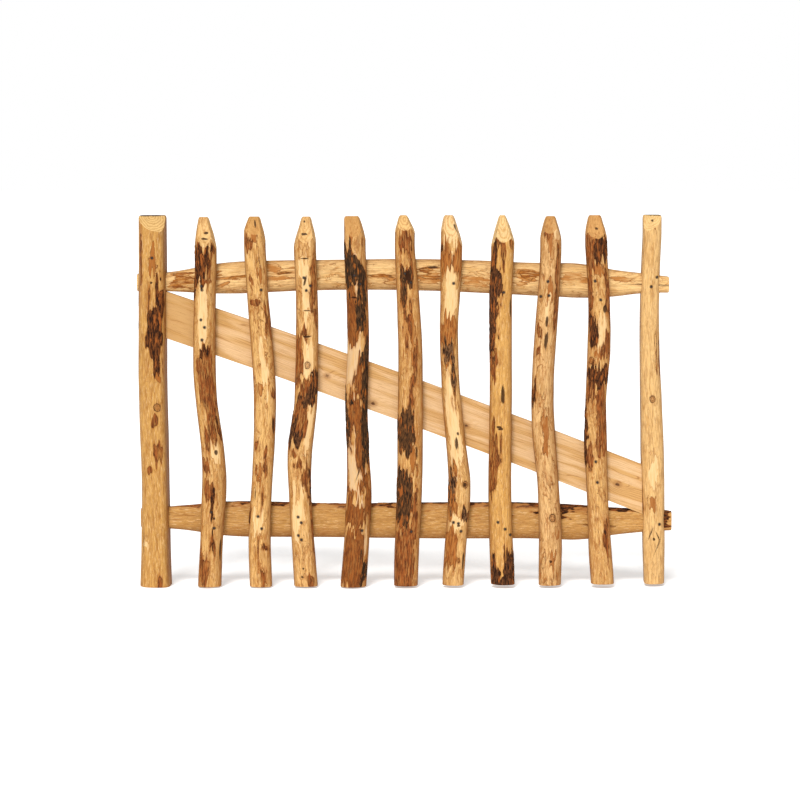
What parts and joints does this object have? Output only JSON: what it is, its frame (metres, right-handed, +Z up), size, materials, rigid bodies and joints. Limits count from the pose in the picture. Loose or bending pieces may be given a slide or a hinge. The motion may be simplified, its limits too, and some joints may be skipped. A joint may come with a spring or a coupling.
{
  "type": "rustic paling gate leaf",
  "caption": "Low garden gate leaf of cleft and peeled wood: crooked pales nailed to two tenoned rails between half-round stiles, with a sawn diagonal brace.",
  "frame": {"origin": "lower hinge seat: a point on the flat back of the hanging stile, 240 mm above the leaf's foot", "axes": "+Z up; +X to the right as seen from the front, along the rails from the closing stile to the hanging stile; +Y out of the leaf's back, so the pales face -Y"},
  "size_m": [1.153, 0.0764, 0.803],
  "materials": {
    "hewn_rail": "axe-hewn pole with scraps of inner bark, weathered and unsealed",
    "cleft_stile": "cleft half-round with an axe-hewn back, weathered and unsealed",
    "sawn_brace": "sawn softwood board, pale and unsealed",
    "peeled_pale": "peeled pole with patches of brown bark, weathered and unsealed",
    "nail_steel": "small galvanised wire nails, dulled and rust-stained"
  },
  "bodies": {
    "root": {"top_rail": "hewn_rail", "bottom_rail": "hewn_rail", "left_stile": "cleft_stile", "right_stile": "cleft_stile", "brace": "sawn_brace", "pale_1": "peeled_pale", "pale_2": "peeled_pale", "pale_3": "peeled_pale", "pale_4": "peeled_pale", "pale_5": "peeled_pale", "pale_6": "peeled_pale", "pale_7": "peeled_pale", "pale_8": "peeled_pale", "pale_9": "peeled_pale"}
  },
  "joints": []
}
